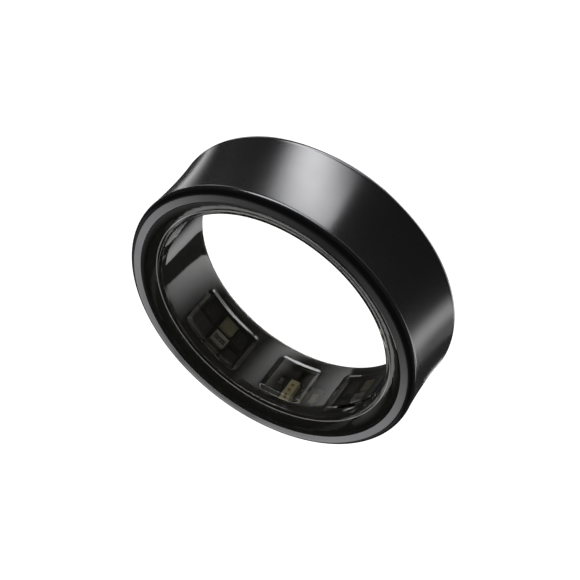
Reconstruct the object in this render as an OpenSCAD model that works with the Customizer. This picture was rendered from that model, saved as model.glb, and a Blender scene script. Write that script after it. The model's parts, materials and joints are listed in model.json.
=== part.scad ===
// Smart ring: a dished metal band round a clear inner liner, with sensors, board, battery and coil between

/* [Ring] */
// Inside diameter of the ring, where the finger goes
bore_d = 19; // [18:0.1:22]
// Width of the ring along its axis
band_w = 7; // [6.8:0.1:8]
// Room between the board and the film, for the parts on the board
parts_h = 0.89; // [0.85:0.01:1.1]

/* [Outer band] */
// Depth of the dish round the outside, below the lips
dish_depth = 0.13; // [0.05:0.01:0.2]
// Radius of the rolled lip at each rim
lip_r = 0.48; // [0.3:0.02:0.55]
// Height of the narrow flat along the crest of each lip
lip_flat_h = 0.04; // [0.02:0.01:0.1]
// Radial width of the metal at each rim, lip included
rim_land_w = 1.05; // [0.9:0.05:1.15]
// Thickness of the metal at the bottom of the dish
band_wall = 0.62; // [0.5:0.02:0.7]
// Radius of the milled corners of the channel inside the band
channel_corner_r = 0.12; // [0.05:0.01:0.15]

/* [Inner liner] */
// Thickness of the clear wall round the finger
liner_t = 0.36; // [0.3:0.02:0.42]
// Height of the liner's flanges where they meet the band
flange_h = 0.75; // [0.65:0.05:0.8]
// Slope of the bevel from the metal down to the bore, in degrees
bevel_a = 17; // [8:1:20]
// Radius of the rounded edges of the bore
bore_edge_r = 0.29; // [0.15:0.01:0.3]
// How far the sensor pads stand out of the bore
pad_rise = 0.1; // [0.05:0.01:0.11]
// Width of the sloping border of a sensor pad
pad_ramp = 0.32; // [0.2:0.02:0.5]

/* [Windows] */
// Length of the two side windows, round the ring
side_window_l = 5.9; // [5.8:0.05:6.2]
// Length of the middle window, round the ring
mid_window_l = 3.9; // [3.85:0.05:4.2]
// Height of the liner above and below a window
window_margin = 1.4; // [1.3:0.05:1.5]
// Corner radius of the windows
window_corner_r = 0.6; // [0.2:0.05:1]
// Angle from the middle window to each side window, in degrees
window_step = 41.75; // [41:0.25:43]
// Thickness of the black film behind the liner
mask_t = 0.05; // [0.03:0.01:0.08]

/* [Board] */
// Clearance between the board's long edges and the sealing beads
board_margin = 0.05; // [0.03:0.01:0.2]
// Bare stretch at each end of the board
board_end_margin = 0.3; // [0.2:0.05:0.6]
// Thickness of the flexible board
board_t = 0.15; // [0.1:0.01:0.16]
// Least gap between neighbouring parts on the board
part_gap = 0.15; // [0.12:0.01:0.2]
// Thickness of the stiffening plates behind the windows
stiffener_t = 0.1; // [0.06:0.01:0.12]
// Thickness of the tape that holds the board and the battery
tape_t = 0.1; // [0.06:0.01:0.12]
// Depth of the notches that let the board bend
neck_notch_h = 1.1; // [0.6:0.1:1.3]
// Width of those notches
neck_notch_w = 0.9; // [0.6:0.05:1]
// Diameter of the tooling holes in the board
tooling_hole_d = 0.5; // [0.3:0.05:0.6]

/* [Optics] */
// Thickness of the photodiodes
photodiode_t = 0.55; // [0.4:0.05:0.6]
// Thickness of the optical signal chip
front_end_t = 0.5; // [0.4:0.05:0.6]
// Width of the light packages, round the ring
led_w = 1.4; // [1.3:0.05:1.45]
// Height of the light packages along the ring's axis
led_h = 0.9; // [0.8:0.05:1]
// Thickness of the light packages' base
led_base_t = 0.25; // [0.15:0.05:0.3]
// Height of the pale frame round the light dies
led_frame_t = 0.33; // [0.2:0.01:0.36]
// Wall of that frame
led_frame_wall = 0.12; // [0.08:0.01:0.16]
// Side of a light die
led_die_w = 0.24; // [0.15:0.01:0.26]
// Thickness of a light die
led_die_t = 0.12; // [0.08:0.01:0.2]
// Thickness of the black walls that keep stray light out
barrier_t = 0.08; // [0.06:0.01:0.1]
// Height of the black walls above the board
barrier_h = 0.7; // [0.5:0.02:0.72]
// Clearance between a light package and the black walls beside it
barrier_gap = 0.12; // [0.08:0.01:0.2]
// Distance from the ends of the long black walls to the board's edges
barrier_margin = 0.4; // [0.2:0.05:0.8]
// Clearance between a black wall and the light detectors behind it
detector_gap = 0.08; // [0.07:0.01:0.15]

/* [Chips] */
// Side of the main chip
main_chip_w = 3; // [2.6:0.1:3.2]
// Thickness of the main chip
main_chip_t = 0.45; // [0.3:0.05:0.6]
// Side of the power chip
power_chip_w = 2.1; // [1.6:0.1:2.3]
// Thickness of the power chip
power_chip_t = 0.4; // [0.3:0.05:0.6]
// Thickness of the motion sensor
motion_sensor_t = 0.6; // [0.4:0.05:0.65]
// Thickness of the memory chip
memory_chip_t = 0.4; // [0.3:0.05:0.6]
// Diameter of the skin temperature sensor
thermo_d = 1.15; // [1:0.05:1.25]
// Thickness of the skin temperature sensor
thermo_t = 0.6; // [0.4:0.05:0.65]
// Clearance between the temperature sensor and the press connector
thermo_gap = 0.05; // [0.04:0.01:0.1]
// Clearance between the temperature sensor and the capacitor above it
thermo_column_gap = 0.33; // [0.2:0.01:0.4]
// Width of the press connector, round the ring
connector_w = 0.8; // [0.7:0.02:0.84]
// Height of the press connector along the ring's axis
connector_h = 2.2; // [2:0.1:2.3]
// Thickness of the press connector
connector_t = 0.62; // [0.5:0.02:0.64]
// Side of the press connector's contacts
contact_w = 0.22; // [0.15:0.01:0.26]
// Thickness of those contacts
contact_t = 0.06; // [0.04:0.01:0.08]
// Number of the press connector's contacts
contact_count = 3; // [2:1:4]

/* [Small parts] */
// Length of a chip capacitor
capacitor_l = 1; // [0.9:0.05:1.05]
// Width of a chip capacitor
capacitor_w = 0.5; // [0.4:0.05:0.55]
// Thickness of a chip capacitor
capacitor_t = 0.45; // [0.3:0.05:0.5]
// How far a metal end stands proud of its capacitor
end_cap_rise = 0.02; // [0.01:0.01:0.04]
// Length of a chip resistor
resistor_l = 0.6; // [0.5:0.05:0.65]
// Width of a chip resistor
resistor_w = 0.3; // [0.25:0.05:0.35]
// Thickness of a chip resistor
resistor_t = 0.23; // [0.15:0.01:0.3]
// Length of a crystal can
crystal_l = 1.6; // [1.4:0.05:1.7]
// Width of a crystal can
crystal_w = 1.1; // [0.9:0.05:1.15]
// Thickness of a crystal can
crystal_t = 0.4; // [0.3:0.02:0.5]
// Side of a power inductor
inductor_w = 1.5; // [1.2:0.05:1.55]
// Thickness of a power inductor
inductor_t = 0.6; // [0.4:0.05:0.65]
// Thickness of the antenna's plastic carrier
antenna_carrier_t = 0.55; // [0.4:0.05:0.6]
// Length of the antenna, round the ring
antenna_l = 4.1; // [3.4:0.1:4.4]
// Thickness of the antenna's metal
antenna_t = 0.05; // [0.03:0.01:0.08]
// Width of the antenna's line
antenna_line_w = 0.28; // [0.2:0.01:0.3]
// Number of the antenna's cross strokes
antenna_strokes = 9; // [5:2:9]

/* [Battery] */
// Free stretch from the board's end to the battery
battery_lead_l = 2.2; // [1.6:0.1:3]
// Radius of the battery's long edges
battery_edge_r = 0.25; // [0.1:0.01:0.3]
// Length of the sealed flap at the battery's end
flap_l = 0.7; // [0.5:0.05:0.8]
// Thickness of the sealed flap
flap_t = 0.16; // [0.1:0.01:0.2]
// Width of the battery's metal tabs
tab_w = 0.9; // [0.6:0.05:1.2]
// Thickness of the battery's metal tabs
tab_t = 0.06; // [0.04:0.01:0.08]
// Height from one battery tab to the other
tab_spacing = 2.6; // [2:0.1:3]
// Length of the battery's protection board
guard_board_l = 1.5; // [1.3:0.05:1.55]
// Thickness of the protection board
guard_board_t = 0.2; // [0.15:0.01:0.3]
// Side of the protection chip
guard_chip_w = 1; // [0.8:0.05:1.1]
// Thickness of the protection chip
guard_chip_t = 0.3; // [0.2:0.01:0.36]

/* [Charging coil] */
// Thickness of the coil's wire
coil_wire_d = 0.16; // [0.1:0.01:0.16]
// Number of turns
coil_turns = 3; // [1:1:3]
// Height of the opening inside the last turn
coil_window_h = 1.04; // [0.8:0.02:1.06]
// Distance from the coil to the edges of the ferrite sheet
coil_margin = 0.1; // [0.05:0.01:0.15]
// Distance from the ends of the ferrite sheet to the ends of the battery
ferrite_margin = 1.1; // [0.5:0.1:2]
// Thickness of the ferrite sheet behind the coil
ferrite_t = 0.08; // [0.05:0.01:0.1]
// Thickness of the flexible tail that carries the coil's ends
tail_t = 0.05; // [0.03:0.01:0.06]
// Width of that tail
tail_w = 0.6; // [0.4:0.05:0.8]

/* [Seals] */
// Height of the sealing beads in the band's corners
seal_h = 0.18; // [0.1:0.01:0.2]
// How far a sealing bead reaches inward past the metal
seal_reach = 0.25; // [0.1:0.01:0.3]

/* [Hidden] */

$fn = 96;
// Running gap between stacked layers
seat_gap = 0.02;
// Overrun of the cuts
cut = 0.5;
mid = band_w / 2;

// Radii from the bore outward: liner, film, parts, board, plates, tape and band
r_bore = bore_d / 2;
r_liner = r_bore + liner_t;
r_mask = r_liner + seat_gap;
r_mask_out = r_mask + mask_t;
r_parts = r_mask_out + parts_h;
r_board = r_parts + seat_gap;
r_board_out = r_board + board_t;
r_stiffener = r_board_out + seat_gap;
r_tape = r_stiffener + stiffener_t + seat_gap;
r_channel = r_tape + tape_t + seat_gap;
r_waist = r_channel + band_wall;
r_lip = r_waist + dish_depth;
r_rim = r_lip - rim_land_w;

// Radii of the charging side, from the film outward: coil, tail, ferrite and battery
r_coil = r_mask_out + seat_gap + coil_wire_d / 2;
r_tail = r_coil + coil_wire_d / 2 + 2 * seat_gap;
r_ferrite = r_tail + tail_t + seat_gap;
r_battery = r_ferrite + ferrite_t + seat_gap;
r_battery_out = r_tape - seat_gap;
battery_t = r_battery_out - r_battery;

// Heights of the windows and the board
window_h = band_w - 2 * window_margin;
board_h = band_w - 2 * (flange_h + seat_gap + seal_h + board_margin);

// Dish of the band: an arc from lip to lip, as deep as the dish
dish_half_h = mid - lip_r - lip_flat_h;
dish_r = (dish_half_h * dish_half_h + dish_depth * dish_depth) / (2 * dish_depth);
// Steps of that large arc, so that its short visible stretch is smooth
dish_steps = 1440;

// Bore edge of the liner: the bevel runs off the rounded edge as a tangent
bore_edge_x = r_bore + bore_edge_r;
bevel_x = bore_edge_x - bore_edge_r * sin(bevel_a);
bevel_drop = (r_rim - seat_gap - bevel_x) * tan(bevel_a);
bore_edge_z = mid - bevel_drop - bore_edge_r * cos(bevel_a);

// Angles of the windows, measured from the middle one
side_signs = [-1, 1];
side_half_a = asin(side_window_l / 2 / r_liner);
mid_half_a = asin(mid_window_l / 2 / r_liner);

// Clear patch beside the middle window: place, half length and height as shares of that window
lobe_shares = [1.26, 0.3, 0.42, 0.4];

// Pieces behind a side window: place round, place up, width and height as shares of its half size,
// with the first positive towards the middle window
front_end_shares = [-0.58, 0.47, 0.72, 1.05];
far_detector_shares = [-0.55, -0.53, 0.62, 0.66];
optics_capacitor_shares = [[0.19, -0.64, 0.46, 0.5], [0.19, 0.72, 0.46, 0.5]];
optics_capacitor_t_shares = [1, 0.35];
led_place_shares = [0.19, 0.12];
led_die_place_shares = [-0.56, 0, 0.56];

// Detectors nearest the middle window: far edge, place up and height as shares of the half window
near_detector_shares = [[0.92, 0.57, 0.8], [0.87, -0.47, 0.7]];
// Cross wall between those two: its end and its place up
cross_wall_shares = [0.92, 0.04];

// Pieces behind the middle window, as shares of its half size
motion_shares = [-0.6, 0.55, 0.58, 0.74];
memory_shares = [-0.42, -0.65, 0.86, 0.36];
connector_place_shares = [0.12, 0.28];
thermo_z_share = -0.47;
column_place_share = 0.715;
resistor_place_shares = [-0.53, -0.12];
lobe_capacitor_z_share = 0.5;
lobe_resistor_z_share = 0.1;

// Lights and black walls, as distances from the middle of a side window
led_x = led_place_shares[0] * side_window_l / 2;
barrier_offset = led_w / 2 + barrier_gap + barrier_t / 2;
near_detector_x = led_x + barrier_offset + barrier_t / 2 + detector_gap;

// Angles along the board, in degrees from the middle window: each part follows the one before
gap_a = arc_a(part_gap);
neck_half_a = half_a(neck_notch_w);
outer_neck_a = window_step + side_half_a + neck_half_a;
inner_neck_a = window_step - side_half_a - neck_half_a;
inductor_a = -mid_half_a - gap_a - half_a(inductor_w);
main_chip_a = -outer_neck_a - neck_half_a - gap_a - half_a(main_chip_w);
chip_column_a = main_chip_a - half_a(main_chip_w) - gap_a - half_a(capacitor_w);
power_chip_a = chip_column_a - half_a(capacitor_w) - gap_a - half_a(power_chip_w);
crystal_a = outer_neck_a + neck_half_a + gap_a + half_a(crystal_l);
clock_column_a = crystal_a + half_a(crystal_l) + gap_a + half_a(capacitor_w);
antenna_half_a = arc_a(antenna_l) / 2;
antenna_a = clock_column_a + half_a(capacitor_w) + gap_a + antenna_half_a;
board_from_a = power_chip_a - half_a(power_chip_w) - arc_a(board_end_margin);
board_to_a = antenna_a + antenna_half_a + arc_a(board_end_margin);
board_a = (board_from_a + board_to_a) / 2;
board_span_a = board_to_a - board_from_a;

// Angles of the small parts behind the middle window and its lobe
connector_a = window_angle(mid_window_l, connector_place_shares[0]);
thermo_a = connector_a + half_a(connector_w) + arc_a(thermo_gap) + half_a(thermo_d);
column_a = window_angle(mid_window_l, column_place_share);
lobe_a = window_angle(mid_window_l, lobe_shares[0]);
lobe_resistor_a = lobe_a + half_a(capacitor_w) + gap_a + half_a(resistor_w);

// Battery between the board's two ends, with its tabs and protection board at its far end
flap_a = arc_a(flap_l, r_battery_out);
guard_half_a = arc_a(guard_board_l, r_battery_out) / 2;
guard_a = 360 + board_from_a - gap_a - guard_half_a;
battery_from_a = board_to_a + arc_a(battery_lead_l);
battery_end_a = guard_a - guard_half_a - arc_a(seat_gap, r_battery_out) - flap_a;
battery_a = (battery_from_a + battery_end_a) / 2;
battery_span_a = battery_end_a - battery_from_a;

// Charging coil within the ferrite sheet
ferrite_span_a = battery_span_a - 2 * arc_a(ferrite_margin, r_ferrite);
coil_half_l = ferrite_span_a / 2 * PI / 180 * r_coil - coil_margin;
coil_half_h = board_h / 2 - coil_margin - coil_wire_d / 2;
coil_spacing = (coil_half_h - coil_window_h / 2) / coil_turns;

// Rings of the coil's wire in one turn, and sides of the wire
coil_rings = 44;
coil_sides = 6;

// Place at an angle from the middle window, at radius r and height z
module at(a, r = 0, z = mid) {
    rotate([0, 0, 90 + a])
        translate([r, 0, z])
            children();
}

// Curved strip between two radii, a_span wide round a_mid, h high round z
module strip(r_in, r_out, h, a_mid, a_span, z = mid) {
    rotate([0, 0, 90 + a_mid - a_span / 2])
        rotate_extrude(angle = a_span)
            translate([r_in, z - h / 2])
                square([r_out - r_in, h]);
}

// Flat outline stood up across the radius at angle a and run outward
module radial_prism(a, r_from, r_to, z = mid) {
    at(a, r_from, z)
        rotate([90, 0, 90])
            linear_extrude(height = r_to - r_from)
                children();
}

module rounded_rect(l, h, r) {
    square([l - 2 * r, h], center = true);
    square([l, h - 2 * r], center = true);
    for (x = [-1, 1], y = [-1, 1])
        translate([x * (l / 2 - r), y * (h / 2 - r)])
            circle(r = r);
}

// Distance from the axis at which a flat piece w wide just clears the curved board
function seat_r(w) = sqrt(r_parts * r_parts - w * w / 4);

// Half the angle that a flat piece w wide takes on the board, and the angle of a length at radius r
function half_a(w) = asin(w / 2 / r_parts);
function arc_a(l, r = r_parts) = l / r * 180 / PI;

// Height of piece i in a stack of n round z, each l high
function stack_z(i, n, l, z = mid) = z + (i - (n - 1) / 2) * (l + part_gap);

// Flat piece on the board, w round, h up and t thick
module chip(a, z, w, h, t) {
    at(a, seat_r(w) - t, z)
        translate([0, -w / 2, -h / 2])
            cube([t, w, h]);
}

// Angle and height of a place given in shares of a window's half size
function window_angle(l, share) = asin(share * l / 2 / r_parts);
function window_z(share) = mid + share * window_h / 2;

// Angle of a place x from the middle of the side window on side s, positive towards the middle window
function side_a(s, x) = s * (window_step - asin(x / r_parts));

// Chip placed by shares of the side window on the side that s gives
module side_chip(s, shares, t) {
    chip(side_a(s, shares[0] * side_window_l / 2), window_z(shares[1]), shares[2] * side_window_l / 2,
        shares[3] * window_h / 2, t);
}

// Chip placed by shares of the middle window
module mid_chip(shares, t) {
    chip(window_angle(mid_window_l, shares[0]), window_z(shares[1]), shares[2] * mid_window_l / 2,
        shares[3] * window_h / 2, t);
}

// Chip body with a proud metal band at each end, long way up
module two_ended(a, z, w, h, t, end_share = 0.22) {
    chip(a, z, w - 2 * end_cap_rise, h - 2 * end_cap_rise, t - end_cap_rise);
    for (s = [-1, 1])
        chip(a, z + s * (h / 2) * (1 - end_share), w, h * end_share, t);
}

// Dished metal band with rolled lips and a milled channel inside
module outer_band() {
    color([0.1, 0.1, 0.11])
        rotate_extrude()
            difference() {
                union() {
                    translate([r_rim, 0])
                        square([rim_land_w - lip_r, band_w]);
                    translate([r_rim, lip_r])
                        square([rim_land_w, band_w - 2 * lip_r]);
                    for (z = [lip_r, band_w - lip_r])
                        translate([r_lip - lip_r, z])
                            circle(r = lip_r);
                }
                translate([r_waist + dish_r, mid])
                    circle(r = dish_r, $fn = dish_steps);
                channel_section();
            }
}

// Section of the channel between the band's rim lands
module channel_section() {
    w = r_channel - r_rim + cut;
    h = band_w - 2 * flange_h;
    translate([r_channel - w / 2, mid])
        rounded_rect(w, h, channel_corner_r);
    translate([r_rim - cut, flange_h])
        square([cut + channel_corner_r, h]);
}

// Section of the liner: wall, two flanges, bevels and rounded bore edges
module liner_section() {
    flange_r = r_rim - seat_gap;
    bevel_z = bore_edge_z + bore_edge_r * cos(bevel_a);
    difference() {
        union() {
            for (s = side_signs)
                translate([bore_edge_x, mid + s * bore_edge_z])
                    circle(r = bore_edge_r);
            translate([0, mid])
                polygon([[r_bore, -bore_edge_z], [bore_edge_x, -bore_edge_z], [bevel_x, -bevel_z],
                    [flange_r, -mid], [flange_r, mid], [bevel_x, bevel_z],
                    [bore_edge_x, bore_edge_z], [r_bore, bore_edge_z]]);
        }
        translate([r_liner, flange_h])
            square([flange_r - r_liner + cut, band_w - 2 * flange_h]);
    }
}

// Clear liner with a raised pad over each group of sensors
module inner_liner() {
    color([0.16, 0.16, 0.14]) {
        rotate_extrude()
            liner_section();
        for (s = side_signs)
            sensor_pad(s * window_step, side_window_l);
        sensor_pad(0, mid_window_l);
    }
}

// Pad of the liner: sloping borders on all four sides, and rounded corners
module sensor_pad(a, l) {
    root_r = r_bore + liner_t / 2;
    top_r = r_bore - pad_rise;
    intersection() {
        rotate_extrude()
            translate([0, mid])
                polygon([[root_r, -window_h / 2], [r_bore, -window_h / 2],
                    [top_r, pad_ramp - window_h / 2], [top_r, window_h / 2 - pad_ramp],
                    [r_bore, window_h / 2], [root_r, window_h / 2]]);
        radial_prism(a, top_r - cut, root_r)
            rounded_rect(l, window_h, window_corner_r);
        at(a, 0, mid - window_h / 2)
            linear_extrude(height = window_h)
                pad_gable(asin(l / 2 / r_bore), top_r);
    }
}

// Gable whose two slopes are the ramps at a pad's ends
module pad_gable(half_a, top_r) {
    crest_a = half_a - pad_ramp / r_bore * 180 / PI;
    foot = r_bore * [cos(half_a), sin(half_a)];
    crest = top_r * [cos(crest_a), sin(crest_a)];
    reach = foot.y / (foot.y - crest.y);
    apex = foot.x + reach * (crest.x - foot.x);
    polygon([[apex, 0], foot, [r_liner, foot.y], [r_liner, -foot.y], [foot.x, -foot.y]]);
}

// Black film on the liner, open at the windows
module mask_film() {
    film_h = band_w - 2 * flange_h - 2 * seat_gap;
    color([0.03, 0.03, 0.03])
        difference() {
            rotate_extrude()
                translate([r_mask, mid - film_h / 2])
                    square([mask_t, film_h]);
            for (s = side_signs)
                radial_prism(s * window_step, r_bore - cut, r_mask_out + cut)
                    rounded_rect(side_window_l, window_h, window_corner_r);
            radial_prism(0, r_bore - cut, r_mask_out + cut)
                rounded_rect(mid_window_l, window_h, window_corner_r);
            lobe_l = 2 * lobe_shares[2] * mid_window_l / 2;
            lobe_h = 2 * lobe_shares[3] * window_h / 2;
            radial_prism(window_angle(mid_window_l, lobe_shares[0]), r_bore - cut, r_mask_out + cut,
                window_z(lobe_shares[1]))
                rounded_rect(lobe_l, lobe_h, window_corner_r / 2);
        }
}

// Beads of glue in the corners between the band and the liner's flanges
module rim_seals() {
    color([0.2, 0.19, 0.17])
        for (z = [flange_h + seat_gap, band_w - flange_h - seat_gap - seal_h])
            rotate_extrude()
                translate([r_rim - seal_reach, z])
                    square([r_channel - channel_corner_r - r_rim + seal_reach, seal_h]);
}

// Flexible board, narrowed by notches where it bends
module flex_board() {
    color([0.12, 0.14, 0.1])
        difference() {
            strip(r_board, r_board_out, board_h, board_a, board_span_a);
            for (a = [-outer_neck_a, -inner_neck_a, inner_neck_a, outer_neck_a], s = side_signs)
                radial_prism(a, r_board - cut, r_board_out + cut, mid + s * board_h / 2)
                    neck_notch();
            for (s = side_signs)
                radial_prism(power_chip_a, r_board - cut, r_board_out + cut,
                    mid + s * (board_h + power_chip_w) / 4)
                    circle(d = tooling_hole_d);
        }
}

// Notch with a round end, the same above and below its middle
module neck_notch() {
    square([neck_notch_w, 2 * neck_notch_h - neck_notch_w], center = true);
    for (s = side_signs)
        translate([0, s * (neck_notch_h - neck_notch_w / 2)])
            circle(d = neck_notch_w);
}

// Steel plates that keep the board true behind each window
module board_stiffeners() {
    plate_h = board_h - neck_notch_w;
    color([0.55, 0.55, 0.57]) {
        for (s = side_signs)
            strip(r_stiffener, r_stiffener + stiffener_t, plate_h, s * window_step, 2 * side_half_a);
        strip(r_stiffener, r_stiffener + stiffener_t, plate_h, 0, 2 * mid_half_a);
    }
}

// Tape that holds the board to the band
module board_tape() {
    color([0.25, 0.22, 0.2])
        strip(r_tape, r_tape + tape_t, board_h, board_a, board_span_a);
}

// Signal chip of the optics, behind the window on the right
module optical_front_end() {
    color([0.2, 0.18, 0.24])
        side_chip(-1, front_end_shares, front_end_t);
}

// Light detectors behind both side windows
module photodiodes() {
    color([0.14, 0.14, 0.16]) {
        for (s = side_signs) {
            side_chip(s, far_detector_shares, photodiode_t);
            for (p = near_detector_shares)
                near_detector(s, p);
        }
        side_chip(1, front_end_shares, photodiode_t);
    }
}

// Detector between the outer black wall and its far edge
module near_detector(s, shares) {
    far_x = shares[0] * side_window_l / 2;
    chip(side_a(s, (near_detector_x + far_x) / 2), window_z(shares[1]), far_x - near_detector_x,
        shares[2] * window_h / 2, photodiode_t);
}

// Bases of the two light packages
module led_bases() {
    color([0.85, 0.85, 0.8])
        for (s = side_signs)
            chip(side_a(s, led_x), window_z(led_place_shares[1]), led_w, led_h, led_base_t);
}

// Pale frames on the bases, open over the light dies
module led_frames() {
    r = seat_r(led_w) - led_base_t - seat_gap;
    color([0.75, 0.75, 0.72])
        for (s = side_signs)
            radial_prism(side_a(s, led_x), r - led_frame_t, r, window_z(led_place_shares[1]))
                difference() {
                    square([led_w, led_h], center = true);
                    square([led_w - 2 * led_frame_wall, led_h - 2 * led_frame_wall], center = true);
                }
}

// Green, red and infrared light dies on each base
module led_dies() {
    r = seat_r(led_w) - led_base_t - seat_gap;
    color([0.5, 0.6, 0.35])
        for (s = side_signs, p = led_die_place_shares)
            at(side_a(s, led_x), r - led_die_t, window_z(led_place_shares[1]))
                translate([0, p * led_w / 2 - led_die_w / 2, -led_die_w / 2])
                    cube([led_die_t, led_die_w, led_die_w]);
}

// Black walls between the lights and the light detectors
module light_barriers() {
    color([0.05, 0.05, 0.05])
        for (s = side_signs) {
            for (side = [-1, 1])
                chip(side_a(s, led_x + side * barrier_offset), mid, barrier_t,
                    board_h - 2 * barrier_margin, barrier_h);
            cross_wall(s);
        }
}

// Short wall that parts the two detectors nearest the middle window
module cross_wall(s) {
    from_a = side_a(1, led_x + barrier_offset);
    to_a = side_a(1, cross_wall_shares[0] * side_window_l / 2);
    strip(r_parts - barrier_h + seat_gap, r_parts - seat_gap, barrier_t, s * (from_a + to_a) / 2,
        from_a - to_a, window_z(cross_wall_shares[1]));
}

// Ceramic capacitors above and below the light packages
module optics_capacitors() {
    color([0.55, 0.48, 0.36])
        for (s = side_signs, i = [0, 1]) {
            p = optics_capacitor_shares[i];
            two_ended(side_a(s, p[0] * side_window_l / 2), window_z(p[1]), p[2] * side_window_l / 2,
                p[3] * window_h / 2, capacitor_t * optics_capacitor_t_shares[i]);
        }
}

module motion_sensor() {
    color([0.13, 0.13, 0.14])
        mid_chip(motion_shares, motion_sensor_t);
}

module memory_chip() {
    color([0.12, 0.12, 0.13])
        mid_chip(memory_shares, memory_chip_t);
}

// Cream body of the press connector
module press_connector() {
    color([0.8, 0.74, 0.58])
        chip(connector_a, window_z(connector_place_shares[1]), connector_w, connector_h, connector_t);
}

// Gold contacts in a column on the press connector
module connector_contacts() {
    z = window_z(connector_place_shares[1]);
    r = seat_r(connector_w) - connector_t - seat_gap;
    pitch = connector_h / (contact_count + 1);
    color([0.83, 0.66, 0.3])
        for (i = [1:contact_count])
            at(connector_a, r - contact_t, z - connector_h / 2 + i * pitch)
                translate([0, -contact_w / 2, -contact_w / 2])
                    cube([contact_t, contact_w, contact_w]);
}

// Round skin temperature sensor
module temperature_sensor() {
    r = seat_r(thermo_d);
    color([0.1, 0.1, 0.11])
        radial_prism(thermo_a, r - thermo_t, r, window_z(thermo_z_share))
            circle(d = thermo_d);
}

module main_chip() {
    color([0.1, 0.1, 0.11])
        chip(main_chip_a, mid, main_chip_w, main_chip_w, main_chip_t);
}

module power_chip() {
    color([0.12, 0.12, 0.13])
        chip(power_chip_a, mid, power_chip_w, power_chip_w, power_chip_t);
}

// Clock crystals in metal cans, each a base with a smaller lid
module crystals() {
    lid_share = 0.82;
    color([0.75, 0.75, 0.77])
        for (i = [0, 1]) {
            z = stack_z(i, 2, crystal_w);
            chip(crystal_a, z, crystal_l, crystal_w, crystal_t / 2);
            at(crystal_a, seat_r(crystal_l) - crystal_t, z)
                translate([0, -crystal_l * lid_share / 2, -crystal_w * lid_share / 2])
                    cube([crystal_t, crystal_l * lid_share, crystal_w * lid_share]);
        }
}

module inductors() {
    color([0.3, 0.3, 0.32])
        for (i = [0, 1])
            two_ended(inductor_a, stack_z(i, 2, inductor_w), inductor_w, inductor_w, inductor_t);
}

// Chip capacitors: above the temperature sensor, behind the lobe, and in columns beside the chips
module capacitors() {
    color([0.55, 0.48, 0.36]) {
        capacitor(column_a, column_z);
        for (i = [0, 1])
            capacitor(lobe_a, stack_z(i, 2, capacitor_l, window_z(lobe_capacitor_z_share)));
        for (a = [chip_column_a, clock_column_a], i = [0:2])
            capacitor(a, stack_z(i, 3, capacitor_l));
    }
}

// Height of the capacitor above the temperature sensor
column_z = window_z(thermo_z_share) + thermo_d / 2 + thermo_column_gap + capacitor_l / 2;

module capacitor(a, z) {
    two_ended(a, z, capacitor_w, capacitor_l, capacitor_t);
}

// Chip resistors: above that capacitor, beside the memory chip and behind the lobe
module resistors() {
    color([0.2, 0.2, 0.21]) {
        resistor(column_a, column_z + capacitor_l / 2 + part_gap + resistor_l / 2);
        resistor(window_angle(mid_window_l, resistor_place_shares[0]), window_z(resistor_place_shares[1]));
        for (i = [0:3])
            resistor(lobe_resistor_a, stack_z(i, 4, resistor_l, window_z(lobe_resistor_z_share)));
    }
}

module resistor(a, z) {
    two_ended(a, z, resistor_w, resistor_l, resistor_t);
}

// Curved plastic block that carries the antenna
module antenna_carrier() {
    color([0.85, 0.82, 0.75])
        strip(r_parts - antenna_carrier_t, r_parts, board_h, antenna_a, 2 * antenna_half_a);
}

// Antenna line: a strip cut by slots from alternate edges, so that it runs to and fro
module antenna_trace() {
    r_out = r_parts - antenna_carrier_t - seat_gap;
    r_in = r_out - antenna_t;
    trace_h = board_h - 2 * antenna_line_w;
    line_a = arc_a(antenna_line_w, r_in);
    step_a = (2 * antenna_half_a - 2 * line_a) / (antenna_strokes - 1);
    color([0.8, 0.55, 0.35])
        difference() {
            strip(r_in, r_out, trace_h, antenna_a, 2 * antenna_half_a - line_a);
            for (i = [1:antenna_strokes - 1])
                strip(r_in - cut, r_out + cut, trace_h,
                    antenna_a + (i - antenna_strokes / 2) * step_a, step_a - line_a,
                    mid + (i % 2 == 0 ? 1 : -1) * antenna_line_w);
        }
}

// Curved battery with rounded long edges and a sealed flap at its far end
module battery_cell() {
    color([0.62, 0.64, 0.66]) {
        rotate([0, 0, 90 + battery_from_a])
            rotate_extrude(angle = battery_span_a)
                translate([r_battery + battery_t / 2, mid])
                    rounded_rect(battery_t, board_h, battery_edge_r);
        strip(r_battery_out - flap_t, r_battery_out, board_h - 2 * battery_edge_r,
            battery_end_a, 2 * flap_a);
    }
}

// Tabs that run from the battery's flap to its protection board
tab_inset_share = 0.2;
module battery_tabs() {
    r_out = r_battery_out - guard_board_t - seat_gap;
    tab_from_a = battery_end_a + tab_inset_share * flap_a;
    tab_to_a = guard_a - tab_inset_share * guard_half_a;
    color([0.7, 0.7, 0.68])
        for (s = side_signs)
            strip(r_out - tab_t, r_out, tab_w, (tab_from_a + tab_to_a) / 2, tab_to_a - tab_from_a,
                mid + s * tab_spacing / 2);
}

// Small curved board that guards the battery
module protection_board() {
    color([0.1, 0.25, 0.16])
        strip(r_battery_out - guard_board_t, r_battery_out, board_h, guard_a, 2 * guard_half_a);
}

// Chip on the protection board, between the tabs
module protection_chip() {
    r = sqrt(pow(r_battery_out - guard_board_t - seat_gap, 2) - guard_chip_w * guard_chip_w / 4);
    color([0.1, 0.1, 0.11])
        at(guard_a, r - guard_chip_t)
            translate([0, -guard_chip_w / 2, -guard_chip_w / 2])
                cube([guard_chip_t, guard_chip_w, guard_chip_w]);
}

// Tape that holds the battery to the band
module battery_tape() {
    color([0.25, 0.22, 0.2])
        strip(r_tape, r_tape + tape_t, board_h - 2 * battery_edge_r, battery_a, battery_span_a);
}

// Ferrite sheet between the coil and the battery
module ferrite_sheet() {
    color([0.22, 0.22, 0.24])
        strip(r_ferrite, r_ferrite + ferrite_t, board_h, battery_a, ferrite_span_a);
}

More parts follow.
